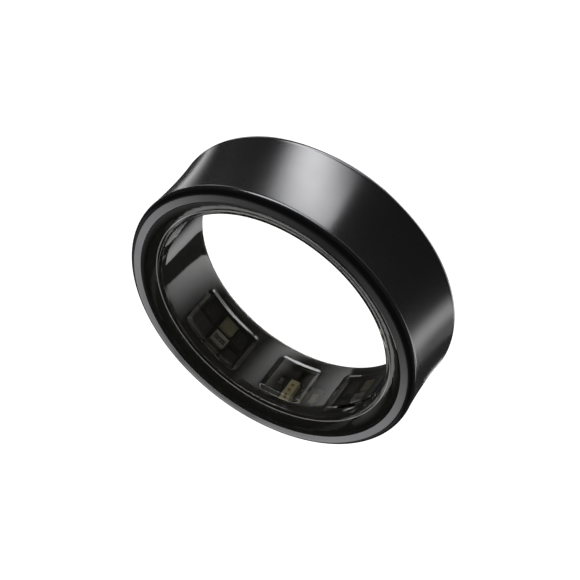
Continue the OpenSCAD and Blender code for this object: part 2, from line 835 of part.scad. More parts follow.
// Flexible tail under the coil: from the end of the board to the middle, and down to both ends
module coil_tail() {
    half_w_a = arc_a(tail_w, r_tail) / 2;
    from_a = antenna_a + antenna_half_a;
    to_a = battery_a + half_w_a;
    color([0.55, 0.35, 0.12]) {
        strip(r_tail, r_tail + tail_t, tail_w, (from_a + to_a) / 2, to_a - from_a);
        strip(r_tail, r_tail + tail_t, coil_half_h, battery_a, 2 * half_w_a, mid - coil_half_h / 2);
    }
}

// Point round a stadium of half length a and half height b, u from 0 to 1
function stadium(a, b, u) =
    let (run = a - b, bend = PI * b, all = 4 * run + 2 * bend, d = u * all)
    d < run ? [d, -b]
    : d < run + bend ? let (w = (d - run) / b * 180 / PI - 90) [run + b * cos(w), b * sin(w)]
    : d < 3 * run + bend ? [2 * run + bend - d, b]
    : d < 3 * run + 2 * bend
        ? let (w = (d - 3 * run - bend) / b * 180 / PI + 90) [-run + b * cos(w), b * sin(w)]
    : [d - all, -b];

// Point on the coil's path after t turns, wrapped on the cylinder
function coil_point(t) =
    let (p = stadium(coil_half_l - coil_spacing * t, coil_half_h - coil_spacing * t, t - floor(t)),
        w = 90 + battery_a + p.x / r_coil * 180 / PI)
    [r_coil * cos(w), r_coil * sin(w), mid + p.y];

coil_path = [for (i = [0:coil_rings * coil_turns]) coil_point(i / coil_rings)];

function unit(v) = v / norm(v);
function segment_distance(p, a, b) =
    let (u = max(0, min(1, ((p - a) * (b - a)) / ((b - a) * (b - a))))) norm(p - a - u * (b - a));
coil_least_gap = min([for (i = [0:len(coil_path) - 1])
    for (j = [i + coil_rings / 2:1:len(coil_path) - 2])
        segment_distance(coil_path[i], coil_path[j], coil_path[j + 1])]) - coil_wire_d;
echo("least gap between turns of the charging coil, mm", coil_least_gap);

// Ring of points round place i of a path, across its direction
function wire_ring(path, i, r) =
    let (last = len(path) - 1, along = unit(path[min(i + 1, last)] - path[max(i - 1, 0)]),
        out = unit([path[i].x, path[i].y, 0]), side = unit(cross(along, out)),
        up = cross(side, along))
    [for (k = [0:coil_sides - 1])
        path[i] + r * (cos(k * 360 / coil_sides) * side + sin(k * 360 / coil_sides) * up)];

// One closed tube along a path
module wire(path, d) {
    n = len(path);
    points = [for (i = [0:n - 1]) each wire_ring(path, i, d / 2)];
    sides = [for (i = [0:n - 2], k = [0:coil_sides - 1])
        let (m = (k + 1) % coil_sides, a = i * coil_sides, b = a + coil_sides)
            each [[a + k, b + m, a + m], [a + k, b + k, b + m]]];
    start = [for (k = [1:coil_sides - 2]) [0, k, k + 1]];
    end = [for (k = [1:coil_sides - 2])
        let (a = (n - 1) * coil_sides) [a, a + k + 1, a + k]];
    polyhedron(points, concat(sides, start, end), convexity = 10);
}

// Charging coil: one unbroken wire wound inward in a flat oval
module charging_coil() {
    color([0.75, 0.45, 0.25])
        wire(coil_path, coil_wire_d);
}

outer_band();
inner_liner();
mask_film();
rim_seals();
flex_board();
board_stiffeners();
board_tape();
optical_front_end();
photodiodes();
led_bases();
led_frames();
led_dies();
light_barriers();
optics_capacitors();
motion_sensor();
memory_chip();
press_connector();
connector_contacts();
temperature_sensor();
main_chip();
power_chip();
crystals();
inductors();
capacitors();
resistors();
antenna_carrier();
antenna_trace();
battery_cell();
battery_tabs();
protection_board();
protection_chip();
battery_tape();
ferrite_sheet();
coil_tail();
charging_coil();
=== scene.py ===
import json
import math

import bmesh
import bpy
import numpy as np
from mathutils import Matrix, Vector, geometry


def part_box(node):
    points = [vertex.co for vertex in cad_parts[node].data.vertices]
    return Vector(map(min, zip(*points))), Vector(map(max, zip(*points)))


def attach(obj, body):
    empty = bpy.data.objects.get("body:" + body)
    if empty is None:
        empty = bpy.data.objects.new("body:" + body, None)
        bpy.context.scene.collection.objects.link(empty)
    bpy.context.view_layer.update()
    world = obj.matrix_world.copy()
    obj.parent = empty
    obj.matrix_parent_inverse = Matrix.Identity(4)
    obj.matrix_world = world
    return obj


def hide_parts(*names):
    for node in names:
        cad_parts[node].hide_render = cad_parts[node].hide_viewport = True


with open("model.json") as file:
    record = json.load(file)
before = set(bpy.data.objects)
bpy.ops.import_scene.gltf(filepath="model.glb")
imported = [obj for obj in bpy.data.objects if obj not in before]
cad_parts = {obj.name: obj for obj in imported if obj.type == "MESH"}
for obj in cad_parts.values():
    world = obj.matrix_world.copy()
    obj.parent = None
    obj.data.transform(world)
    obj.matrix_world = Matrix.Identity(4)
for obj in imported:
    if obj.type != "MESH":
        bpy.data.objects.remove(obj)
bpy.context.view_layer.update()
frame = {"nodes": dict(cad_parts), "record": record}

# Lengths are in millimetres and angles in degrees. MM turns a length into metres, and a point
# nearer to a surface than TOUCH lies on it.
MM = 0.001
TOUCH = 0.001

# Band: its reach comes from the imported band, the rest are the section's own values
BAND_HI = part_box("outer_band")[1]
R_LIP = BAND_HI.x / MM
BAND_W = BAND_HI.z / MM
MID = BAND_W / 2
CENTRE = Vector((0, 0, MID * MM))
R_BORE = 9.5
DISH_DEPTH = 0.13
BAND_WALL = 0.62
LIP_R = 0.48
LIP_ROLL = 12.0
LIP_FILLET_R = 0.4
RIM_LAND = 1.05
RIM_BREAK = 0.025
LAND_STEP = 0.2
FLANGE_H = 0.75
CHANNEL_CORNER_R = 0.12
R_RIM = R_LIP - RIM_LAND
R_DISH = R_LIP - DISH_DEPTH
R_CHANNEL = R_DISH - BAND_WALL
LIP_STEPS = 20
FILLET_STEPS = 5
DISH_STEPS = 40
CHANNEL_CORNER_STEPS = 5
BAND_TURNS = 512

# Liner: the bevel's tilt goes from one value at the metal to the other at the bore
SEAT_GAP = 0.02
LINER_T = 0.36
R_LINER = R_BORE + LINER_T
R_FLANGE = R_RIM - SEAT_GAP
BEVEL_FROM = 9.0
BEVEL_TO = 29.0
BORE_EDGE_R = 0.29
FLARE = 11.0
FLARE_R = 0.3
FLARE_STEPS = 3
BORE_EDGE_STEPS = 12
CROWN_STEPS = 12

# Pads: the mesh is fine on their ramps, and coarser on their tops and between them
PAD_RISE = 0.10
PAD_RAMP = 0.55
PAD_MARGIN = 0.02
PAD_MARGIN_A = 0.3
RAMP_ROWS = 20
FLAT_ROWS = 12
FINE_TURN = 0.2
COARSE_TURN = 0.5

# Film: how far it lies in the liner, its fold under the flange, and a pale line painted beside the fold
# as a highlight.
# Points nearer to each other than FILM_EPSILON when it is flat, or FILM_MERGE when it is bent, are one.
FILM_INSET = 0.03
FILM_T = 0.045
R_FILM = R_LINER - FILM_INSET
R_FILM_RIM = R_FLANGE - FILM_INSET
FILM_FOLD = R_FILM_RIM - R_FILM
FILM_LOW = FLANGE_H - FILM_INSET
FILM_HIGH = BAND_W - FLANGE_H + FILM_INSET
FILM_END = FILM_LOW - 0.05
FILM_SEAM_A = -90.0
FILM_STEPS = 360
FILM_ROWS = 9
OPENING_CORNER_STEPS = 8
FILM_EPSILON = 1e-7
FILM_MERGE = 0.0001
FILM_SHARP_ANGLE = 30
# A pale line painted on the film beside its fold stands in for a highlight along the bore's edge.
PAINTED_LINE_W = 0.08
PAINTED_LINE_R = 9.98
PAINTED_HIGHLIGHT_COLOUR = (0.82, 0.84, 0.9, 1)

# Windows: angle from +X to the middle, and straight length from end to end
MIDDLE_A = 90.0
WINDOW_STEP = 41.75
SIDE_WINDOW_L = 5.9
MID_WINDOW_L = 3.9
WINDOW_H = 4.2
WINDOW_CORNER = 0.6
WINDOWS = [
    (MIDDLE_A - WINDOW_STEP, SIDE_WINDOW_L),
    (MIDDLE_A, MID_WINDOW_L),
    (MIDDLE_A + WINDOW_STEP, SIDE_WINDOW_L),
]
# Openings of the film: angle, height of the middle, length, height and corner; the last is a
# clear patch beside the middle window
LOBE = (MIDDLE_A + 13.1, MID + 0.63, 1.64, 1.68, 0.3)
OPENINGS = [(a, MID, length, WINDOW_H, WINDOW_CORNER) for a, length in WINDOWS] + [LOBE]

# Softly broken edges of the CAD nodes: the nodes without any, the usual width, and other widths
UNBROKEN_NODES = {"outer_band", "inner_liner", "mask_film", "charging_coil"}
USUAL_BREAK = 0.02
EDGE_BREAKS = {
    "led_dies": 0.01, "light_barriers": 0.01, "ferrite_sheet": 0.01, "connector_contacts": 0.012,
    "antenna_trace": 0.008, "coil_tail": 0.008, "battery_tabs": 0.008, "resistors": 0.008,
    "capacitors": 0.008, "optics_capacitors": 0.008, "inductors": 0.008,
}
SHARP_ANGLE = 40
WELD_DISTANCE = 0.001

# Camera, as fitted to the circles of the rims and the bore
CAM_AZIMUTH = -26.5
CAM_ELEVATION = 37.47
CAM_ROLL = 140.99
CAM_DISTANCE = 115.83
CAM_LENS = 96.73
CAM_SENSOR = 36
CAM_SHIFT = (-0.0002, 0.0086)
CAM_CLIP = (5, 5000)

# Studio
LAMP_DISTANCE = 150.0
FLOOR_DROP = 92.0
FLOOR_HALF = 2000.0
FLOOR_COLOUR = (0.5, 0.5, 0.5, 1)
WORLD_LEVEL = 0.3
WHITE_LEVEL = 1.0
GLOW_Z = -38
CLOTH_STEPS = 96
PANEL_STEPS = 48


# Meshes

def new_object(name, verts, faces):
    """Mesh object of its own, linked to the scene."""
    mesh = bpy.data.meshes.new(name)
    mesh.from_pydata(verts, [], faces)
    obj = bpy.data.objects.new(name, mesh)
    bpy.context.scene.collection.objects.link(obj)
    return obj


def arc(centre, radius, start, end, steps):
    """Points of an arc, with angles from the first axis towards the second."""
    turns = [math.radians(start + (end - start) * i / steps) for i in range(steps + 1)]
    return [(centre[0] + radius * math.cos(t), centre[1] + radius * math.sin(t)) for t in turns]


def half_angle(length, radius):
    """Angle in radians from the middle to the end of a straight length laid across a cylinder."""
    return math.asin(length / 2 / radius)


# Node materials

class Shader:
    """A node material being built: its tree, its main shader, and short ways to add and join nodes."""

    def __init__(self, name):
        self.mat = bpy.data.materials.new(name)
        self.mat.use_nodes = True
        self.nodes = self.mat.node_tree.nodes
        self.links = self.mat.node_tree.links
        self.nodes.clear()
        self.out = self.nodes.new("ShaderNodeOutputMaterial")
        self.main = self.nodes.new("ShaderNodeBsdfPrincipled")
        self.link(self.main.outputs[0], self.out.inputs["Surface"])
        self.place = self.nodes.new("ShaderNodeTexCoord").outputs["Object"]

    def link(self, a, b):
        self.links.new(a, b)

    def set(self, **values):
        """Plain values of the main shader, with _ for a space in a socket's name."""
        for key, value in values.items():
            self.main.inputs[key.replace("_", " ")].default_value = value

    def noise(self, scale, detail=3.0):
        """Cloudy noise over the object, with the scale in clouds per metre."""
        tex = self.nodes.new("ShaderNodeTexNoise")
        tex.inputs["Scale"].default_value = scale
        tex.inputs["Detail"].default_value = detail
        tex.inputs["Roughness"].default_value = 0.55
        self.link(self.place, tex.inputs["Vector"])
        return tex.outputs["Fac"]

    def tones(self, fac, dark, light):
        """Colour that goes from one tone to another over the middle of the noise's range."""
        node = self.nodes.new("ShaderNodeValToRGB")
        for element, at, colour in zip(node.color_ramp.elements, (0.3, 0.7), (dark, light)):
            element.position = at
            element.color = (*colour, 1)
        self.link(fac, node.inputs["Fac"])
        return node.outputs["Color"]

    def spread(self, fac, low, high):
        """Value that goes from low to high with the noise."""
        node = self.nodes.new("ShaderNodeMapRange")
        node.inputs["To Min"].default_value = low
        node.inputs["To Max"].default_value = high
        self.link(fac, node.inputs["Value"])
        return node.outputs["Result"]

    def math(self, operation, *values):
        """Output of a Math node, whose values are numbers or sockets."""
        node = self.nodes.new("ShaderNodeMath")
        node.operation = operation
        for socket, value in zip(node.inputs, values):
            if isinstance(value, (int, float)):
                socket.default_value = value
            else:
                self.link(value, socket)
        return node.outputs[0]

    def bump(self, height, strength, depth):
        """Fine relief on the main shader, with its depth in millimetres."""
        node = self.nodes.new("ShaderNodeBump")
        node.inputs["Strength"].default_value = strength
        node.inputs["Distance"].default_value = depth * MM
        self.link(height, node.inputs["Height"])
        self.link(node.outputs[0], self.main.inputs["Normal"])


def speckled(name, dark, light, roughness, metallic=0.0):
    """A surface whose colour wanders between two tones, with fine relief and uneven gloss."""
    s = Shader(name)
    s.set(Metallic=metallic)
    s.link(s.tones(s.noise(3000), dark, light), s.main.inputs["Base Color"])
    s.link(s.spread(s.noise(1200), 0.85 * roughness, 1.15 * roughness), s.main.inputs["Roughness"])
    s.bump(s.noise(6000), 0.15, 0.004)
    return s.mat


def band_metal():
    """Black coated metal: dark, satin, with a trace of unevenness in its gloss."""
    s = Shader("band_metal")
    s.set(Metallic=1.0, IOR=1.5)
    s.link(s.tones(s.noise(260, detail=4), (0.19, 0.19, 0.196), (0.21, 0.21, 0.216)),
           s.main.inputs["Base Color"])
    s.link(s.spread(s.noise(420, detail=5), 0.17, 0.20), s.main.inputs["Roughness"])
    s.bump(s.noise(9000, detail=2), 0.04, 0.002)
    return s.mat


def liner_resin():
    """Smoked clear resin. Lamps pass through it, tinted, so that they reach what lies behind."""
    s = Shader("liner_resin")
    s.set(IOR=1.5, Roughness=0.035, Transmission_Weight=1.0)
    tint = (0.42, 0.41, 0.37)
    s.link(s.tones(s.noise(300), tint, [0.94 * c for c in tint]), s.main.inputs["Base Color"])
    path = s.nodes.new("ShaderNodeLightPath")
    clear = s.nodes.new("ShaderNodeBsdfTransparent")
    clear.inputs["Color"].default_value = (0.86, 0.85, 0.8, 1)
    mix = s.nodes.new("ShaderNodeMixShader")
    s.link(path.outputs["Is Shadow Ray"], mix.inputs[0])
    s.link(s.main.outputs[0], mix.inputs[1])
    s.link(clear.outputs[0], mix.inputs[2])
    s.link(mix.outputs[0], s.out.inputs["Surface"])
    return s.mat


def film_with_painted_highlight():
    """Matte black film with a painted highlight: a pale line beside its fold, under the flange."""
    s = Shader("black_film")
    s.set(Roughness=0.55)
    black = s.tones(s.noise(3000), (0.008, 0.008, 0.008), (0.014, 0.014, 0.014))
    apart = s.nodes.new("ShaderNodeSeparateXYZ")
    s.link(s.place, apart.inputs[0])
    x, y = (apart.outputs[axis] for axis in "XY")
    radius = s.math("SQRT", s.math("ADD", s.math("MULTIPLY", x, x), s.math("MULTIPLY", y, y)))
    off_painted_line = s.math("ABSOLUTE", s.math("SUBTRACT", radius, PAINTED_LINE_R * MM))
    # Painted highlight: the film is pale in a thin ring round the axis, beside its fold.
    mix = s.nodes.new("ShaderNodeMix")
    mix.data_type = "RGBA"
    s.link(s.math("LESS_THAN", off_painted_line, PAINTED_LINE_W / 2 * MM), mix.inputs["Factor"])
    s.link(black, mix.inputs["A"])
    mix.inputs["B"].default_value = PAINTED_HIGHLIGHT_COLOUR
    s.link(mix.outputs["Result"], s.main.inputs["Base Color"])
    return s.mat


# Finishes inside the ring: dark tone, light tone and roughness
DULL_FINISHES = {
    "seal_glue": ((0.02, 0.018, 0.012), (0.04, 0.035, 0.022), 0.5),
    "board_laminate": ((0.03, 0.034, 0.024), (0.05, 0.055, 0.04), 0.45),
    "foam_tape": ((0.12, 0.11, 0.1), (0.18, 0.16, 0.14), 0.8),
    "chip_black": ((0.045, 0.045, 0.048), (0.07, 0.07, 0.073), 0.5),
    "chip_violet": ((0.055, 0.05, 0.066), (0.085, 0.077, 0.1), 0.4),
    "detector": ((0.024, 0.024, 0.027), (0.042, 0.042, 0.046), 0.35),
    "lamp_base": ((0.1, 0.1, 0.095), (0.15, 0.15, 0.14), 0.5),
    "lamp_frame": ((0.5, 0.5, 0.5), (0.6, 0.6, 0.6), 0.45),
    "lamp_die": ((0.2, 0.21, 0.24), (0.3, 0.31, 0.34), 0.2),
    "capacitor_ceramic": ((0.36, 0.34, 0.24), (0.44, 0.42, 0.32), 0.55),
    "inductor_ferrite": ((0.11, 0.11, 0.12), (0.16, 0.16, 0.17), 0.6),
    "resistor_body": ((0.2, 0.2, 0.21), (0.3, 0.3, 0.31), 0.45),
    "connector_cream": ((0.8, 0.72, 0.48), (0.9, 0.83, 0.6), 0.5),
    "thermo_black": ((0.04, 0.04, 0.044), (0.06, 0.06, 0.064), 0.3),
    "antenna_plastic": ((0.6, 0.56, 0.48), (0.7, 0.66, 0.57), 0.6),
    "guard_laminate": ((0.03, 0.1, 0.05), (0.05, 0.15, 0.08), 0.45),
    "ferrite_grey": ((0.12, 0.12, 0.13), (0.18, 0.18, 0.19), 0.6),
    "flex_amber": ((0.4, 0.2, 0.04), (0.5, 0.28, 0.07), 0.35),
}
METAL_FINISHES = {
    "steel_plate": ((0.42, 0.42, 0.43), (0.55, 0.55, 0.56), 0.35),
    "crystal_can": ((0.55, 0.55, 0.56), (0.65, 0.65, 0.66), 0.25),
    "contact_gold": ((0.42, 0.3, 0.12), (0.55, 0.4, 0.18), 0.35),
    "antenna_copper": ((0.6, 0.36, 0.22), (0.75, 0.47, 0.3), 0.3),
    "battery_foil": ((0.5, 0.51, 0.52), (0.62, 0.63, 0.64), 0.35),
    "nickel_tab": ((0.55, 0.55, 0.52), (0.65, 0.65, 0.62), 0.3),
    "coil_copper": ((0.6, 0.3, 0.16), (0.75, 0.4, 0.22), 0.3),
}
MATERIALS = {"band_metal": band_metal(), "liner_resin": liner_resin(), "black_film": film_with_painted_highlight()}
MATERIALS.update((name, speckled(name, *look)) for name, look in DULL_FINISHES.items())
MATERIALS.update((name, speckled(name, *look, metallic=1.0)) for name, look in METAL_FINISHES.items())
SLOTS = {row["node"]: row["material_slot"] for row in frame["record"]["subparts"]}


# Turned pieces

def turned(name, section, turns, sharp):
    """Closed section of (radius, height), set at each turn round the axis.

    The surface is smooth, except along the rings of the section's sharp points.
    """
    count, segments = len(section), len(turns)
    points = np.array(section) * MM
    verts = np.stack([
        np.outer(np.cos(turns), points[:, 0]).ravel(),
        np.outer(np.sin(turns), points[:, 0]).ravel(),
        np.tile(points[:, 1], segments),
    ], axis=1)
    faces = []
    for i in range(segments):
        j = (i + 1) % segments
        for k in range(count):
            m = (k + 1) % count
            faces.append((i * count + k, i * count + m, j * count + m, j * count + k))
    obj = new_object(name, verts.tolist(), faces)
    obj.data.validate()
    bm = bmesh.new()
    bm.from_mesh(obj.data)
    bmesh.ops.recalc_face_normals(bm, faces=bm.faces)
    for edge in bm.edges:
        a, b = (v.index % count for v in edge.verts)
        edge.smooth = not (a == b and a in sharp)
    for face in bm.faces:
        face.smooth = True
    bm.to_mesh(obj.data)
    bm.free()
    return obj


def lip_section():
    """Points of the upper lip and its fillet, and the radius and half turn of the dish's arc."""
    lip = (R_LIP - LIP_R, BAND_W - LIP_R)
    reach, roll = LIP_R + LIP_FILLET_R, math.radians(LIP_ROLL)
    fillet = (lip[0] + reach * math.cos(roll), lip[1] - reach * math.sin(roll))
    # The dish's arc touches both fillets, so its radius follows from its depth
    lean, drop = fillet[1] - MID, fillet[0] - R_DISH
    dish_r = (lean ** 2 + drop ** 2 - LIP_FILLET_R ** 2) / (2 * (drop - LIP_FILLET_R))
    spread = math.degrees(math.asin(lean / (dish_r - LIP_FILLET_R)))
    points = arc(lip, LIP_R, 90, -LIP_ROLL, LIP_STEPS)
    points += arc(fillet, LIP_FILLET_R, 180 - LIP_ROLL, 180 - spread, FILLET_STEPS)[1:]
    return points, dish_r, spread


def band_section():
    """Section of the band: from the rim's inner edge over lip, dish and far lip, back by the channel."""
    upper_lip, dish_r, spread = lip_section()
    land = [(R_RIM, RIM_BREAK), (R_RIM + RIM_BREAK, 0)]
    land += [(R_RIM + LAND_STEP, 0), (R_RIM + 2 * LAND_STEP, 0)]
    corner_x = R_CHANNEL - CHANNEL_CORNER_R
    corner_low = (corner_x, FLANGE_H + CHANNEL_CORNER_R)
    corner_high = (corner_x, BAND_W - FLANGE_H - CHANNEL_CORNER_R)
    section = [(x, BAND_W - z) for x, z in land]
    section += upper_lip
    section += arc((R_DISH + dish_r, MID), dish_r, 180 - spread, 180 + spread, DISH_STEPS)[1:-1]
    section += [(x, BAND_W - z) for x, z in reversed(upper_lip)]
    section += reversed(land)
    section += [(R_RIM, FLANGE_H), (corner_x, FLANGE_H)]
    section += arc(corner_low, CHANNEL_CORNER_R, -90, 0, CHANNEL_CORNER_STEPS)[1:]
    section += arc(corner_high, CHANNEL_CORNER_R, 0, 90, CHANNEL_CORNER_STEPS)
    section += [(R_RIM, BAND_W - FLANGE_H)]
    return section


def make_band():
    section = band_section()
    sharp = {0, 1, len(section) - 1}
    band = turned("ring_band", section, np.linspace(0, 2 * math.pi, BAND_TURNS, endpoint=False), sharp)
    band.data.materials.append(MATERIALS["band_metal"])
    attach(band, "root")
    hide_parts("outer_band")


def pad_height(angle, z):
    """How far the bore is raised at each place: a rounded plateau over each window."""
    height = np.zeros(np.broadcast(angle, z).shape)
    for centre, length in WINDOWS:
        along = np.radians((angle - centre + 180) % 360 - 180) * R_BORE
        dx = np.abs(along) - (R_BORE * half_angle(length, R_BORE) - WINDOW_CORNER)
        dz = np.abs(z - MID) - (WINDOW_H / 2 - WINDOW_CORNER)
        outside = np.hypot(np.maximum(dx, 0), np.maximum(dz, 0))
        distance = outside + np.minimum(np.maximum(dx, dz), 0) - WINDOW_CORNER
        t = np.clip(-distance / PAD_RAMP, 0, 1)
        height = np.maximum(height, PAD_RISE * t * t * t * (t * (6 * t - 15) + 10))
    return height


def bevel_section():
    """Section of the liner's upper edge: a slight flare, a rounding, and the crowned bevel."""
    edge_x = R_BORE + BORE_EDGE_R
    inner, outer = (math.radians(a) for a in (BEVEL_TO, BEVEL_FROM))
    crown_r = (R_FLANGE - edge_x + BORE_EDGE_R * math.sin(inner)) / (math.sin(inner) - math.sin(outer))
    crown = (R_FLANGE + crown_r * math.sin(outer), BAND_W - crown_r * math.cos(outer))
    edge_z = crown[1] + (crown_r - BORE_EDGE_R) * math.cos(inner)
    rounding = arc((edge_x, edge_z), BORE_EDGE_R, 180 - FLARE, 90 + BEVEL_TO, BORE_EDGE_STEPS)
    turn = math.radians(FLARE)
    run = rounding[0][0] - R_BORE - FLARE_R * (1 - math.cos(turn))
    knee = rounding[0][1] - run / math.tan(turn)
    flare_centre = (R_BORE + FLARE_R, knee - FLARE_R * math.sin(turn))
    flare = arc(flare_centre, FLARE_R, 180, 180 - FLARE, FLARE_STEPS)
    return flare + rounding + arc(crown, crown_r, 90 + BEVEL_TO, 90 + BEVEL_FROM, CROWN_STEPS)[1:]


def liner_turns():
    """Turns round the axis: fine on the ramps at the ends of each pad, coarser between."""
    stops = []
    for centre, length in WINDOWS:
        half = math.degrees(half_angle(length, R_BORE))
        ramp = math.degrees((PAD_RAMP + WINDOW_CORNER) / R_BORE)
        stops += [(centre - half - PAD_MARGIN_A, FINE_TURN), (centre - half + ramp, COARSE_TURN),
                  (centre + half - ramp, FINE_TURN), (centre + half + PAD_MARGIN_A, COARSE_TURN)]
    stops.append((stops[0][0] + 360, None))
    turns = []
    for (first, step), (last, _) in zip(stops, stops[1:]):
        turns += list(np.linspace(first, last, max(1, round((last - first) / step)), endpoint=False))
    return np.radians(turns)


def make_liner():
    """Liner turned from its section, with the bore's wall raised into the pads."""
    upper = bevel_section()
    top = upper[0][1]
    lower = [(x, BAND_W - z) for x, z in reversed(upper)]
    edge, flat = WINDOW_H / 2 + PAD_MARGIN, WINDOW_H / 2 - PAD_RAMP - PAD_MARGIN
    heights = [MID - top, *np.linspace(-edge, -flat, RAMP_ROWS),
               *np.linspace(-flat, flat, FLAT_ROWS)[1:-1],
               *np.linspace(flat, edge, RAMP_ROWS), top - MID]
    section = [(R_BORE, MID + h) for h in heights] + upper[1:]
    section += [(R_FLANGE, BAND_W - FLANGE_H), (R_LINER, BAND_W - FLANGE_H)]
    section += [(R_LINER, FLANGE_H), (R_FLANGE, FLANGE_H)] + lower[:-1]
    sharp = {i for i, p in enumerate(section) if p[0] > R_LINER - TOUCH}
    liner = turned("ring_liner", section, liner_turns(), sharp)
    co = np.zeros(len(liner.data.vertices) * 3)
    liner.data.vertices.foreach_get("co", co)
    co = co.reshape(-1, 3)
    radius = np.hypot(co[:, 0], co[:, 1])
    angle = np.degrees(np.arctan2(co[:, 1], co[:, 0]))
    on_wall = radius < (R_BORE + TOUCH) * MM
    rise = pad_height(angle, co[:, 2] / MM) * on_wall * MM
    co[:, :2] *= ((radius - rise) / radius)[:, None]
    liner.data.vertices.foreach_set("co", co.ravel())
    liner.data.update()
    liner.data.materials.append(MATERIALS["liner_resin"])
    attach(liner, "root")
    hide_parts("inner_liner")


# Film, laid out flat as (arc length, height) round R_FILM, and then bent

def rounded_outline(centre_a, z, length, height, corner):
    """Outline of an opening in the flat film."""
    half_l = R_FILM * half_angle(length, R_FILM)
    x0 = math.radians(centre_a) * R_FILM
    points = []
    for sx, sz, start in ((1, 1, 0), (-1, 1, 90), (-1, -1, 180), (1, -1, 270)):
        centre = (x0 + sx * (half_l - corner), z + sz * (height / 2 - corner))
        points += arc(centre, corner, start, start + 90, OPENING_CORNER_STEPS)
    return points


def in_opening(p):
    """True where a point of the flat film lies in one of its openings."""
    for centre_a, z, length, height, corner in OPENINGS:
        half_l = R_FILM * half_angle(length, R_FILM)
        dx = max(abs(p[0] - math.radians(centre_a) * R_FILM) - half_l + corner, 0)
        dz = max(abs(p[1] - z) - height / 2 + corner, 0)
        if math.hypot(dx, dz) < corner:
            return True
    return False


def flat_film():
    """Points and triangles of the film before it is bent."""
    x0, x1 = (math.radians(a) * R_FILM for a in (FILM_SEAM_A, FILM_SEAM_A + 360))
    across = [x0 + (x1 - x0) * i / FILM_STEPS for i in range(FILM_STEPS + 1)]
    border = [(x, FILM_LOW - FILM_FOLD - FILM_END) for x in across]
    border += [(x, FILM_HIGH + FILM_FOLD + FILM_END) for x in reversed(across)]
    points, edges = [], []
    for outline in [border, *(rounded_outline(*opening) for opening in OPENINGS)]:
        first, count = len(points), len(outline)
        points += [Vector(p) for p in outline]
        edges += [(first + i, first + (i + 1) % count) for i in range(count)]
    rows = [*np.linspace(FILM_LOW, FILM_HIGH, FILM_ROWS), FILM_HIGH + FILM_FOLD, FILM_LOW - FILM_FOLD]
    points += [Vector((x, z)) for z in rows for x in across]
    flat, _, faces, *_ = geometry.delaunay_2d_cdt(points, edges, [], 0, FILM_EPSILON)
    kept = [f for f in faces if not in_opening(sum((flat[i] for i in f), Vector((0, 0))) / len(f))]
    return flat, kept


def film_point(x, s):
    """Place on the bent film of a point of the flat one.

    It runs up the liner's back, out under the flange and up the flange's edge, at both ends.
    """
    beyond = max(FILM_LOW - s, s - FILM_HIGH, 0)
    radius = R_FILM + min(beyond, FILM_FOLD)
    rise = max(beyond - FILM_FOLD, 0)
    z = min(max(s, FILM_LOW), FILM_HIGH) + (rise if s > FILM_HIGH else -rise)
    a = x / R_FILM
    return (radius * math.cos(a) * MM, radius * math.sin(a) * MM, z * MM)


def outward_side(mesh):
    """1 if the sheet's faces look away from the axis, else -1."""
    total = sum(p.normal.x * p.center.x + p.normal.y * p.center.y for p in mesh.polygons)
    return 1 if total > 0 else -1


def make_film():
    """Black film with its openings, moulded into the liner's back."""
    flat, faces = flat_film()
    film = new_object("window_film", [film_point(*p) for p in flat], [tuple(f) for f in faces])
    bm = bmesh.new()
    bm.from_mesh(film.data)
    bmesh.ops.remove_doubles(bm, verts=bm.verts, dist=FILM_MERGE * MM)
    loose = [v for v in bm.verts if not v.link_faces]
    bmesh.ops.delete(bm, geom=loose, context="VERTS")
    bmesh.ops.recalc_face_normals(bm, faces=bm.faces)
    for face in bm.faces:
        face.smooth = True
    for edge in bm.edges:
        edge.smooth = edge.calc_face_angle(0) < math.radians(FILM_SHARP_ANGLE)
    bm.to_mesh(film.data)
    bm.free()
    thick = film.modifiers.new("thickness", "SOLIDIFY")
    thick.thickness = FILM_T * MM
    thick.offset = outward_side(film.data)
    film.data.materials.append(MATERIALS["black_film"])
    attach(film, "root")
    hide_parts("mask_film")


# Nodes that keep their CAD shape

def dress_cad_nodes():
    """Gives every node a welded surface, its own material, and edges softly broken."""
    for name, node in frame["nodes"].items():
        node.data.materials.clear()
        node.data.materials.append(MATERIALS[SLOTS[name]])
        weld = node.modifiers.new("weld", "WELD")
        weld.merge_threshold = WELD_DISTANCE * MM
        if name in UNBROKEN_NODES:
            continue
        bevel = node.modifiers.new("edges", "BEVEL")
        bevel.width = EDGE_BREAKS.get(name, USUAL_BREAK) * MM
        bevel.segments = 2
        bevel.limit_method = "ANGLE"
        bevel.angle_limit = math.radians(SHARP_ANGLE)


# Camera and studio: studio azimuths turn with the camera, which stands at 270

def direction(azimuth, elevation):
    """Unit vector towards an azimuth from +X and an elevation above the horizon."""
    a, e = math.radians(azimuth), math.radians(elevation)
    return Vector((math.cos(a) * math.cos(e), math.sin(a) * math.cos(e), math.sin(e)))


def facing(towards):
    """Turn of a flat thing that stands in that direction from the ring and faces it."""
    right = Vector((0, 0, 1)).cross(towards).normalized()
    return Matrix((right, towards.cross(right), towards)).transposed().to_4x4()


def studio_point(azimuth, radius, z):
    """Place round the ring's axis, in metres."""
    a = math.radians(azimuth + CAM_AZIMUTH)
    return (radius * math.cos(a) * MM, radius * math.sin(a) * MM, z * MM)


def make_camera():
    data = bpy.data.cameras.new("camera")
    data.lens = CAM_LENS
    data.sensor_width = CAM_SENSOR
    data.shift_x, data.shift_y = CAM_SHIFT
    data.clip_start, data.clip_end = (distance * MM for distance in CAM_CLIP)
    cam = bpy.data.objects.new("camera", data)
    bpy.context.scene.collection.objects.link(cam)
    back = direction(CAM_AZIMUTH - 90, CAM_ELEVATION)
    turn = facing(back) @ Matrix.Rotation(math.radians(-CAM_ROLL), 4, "Z")
    cam.matrix_world = Matrix.Translation(CENTRE + back * CAM_DISTANCE * MM) @ turn
    bpy.context.scene.camera = cam


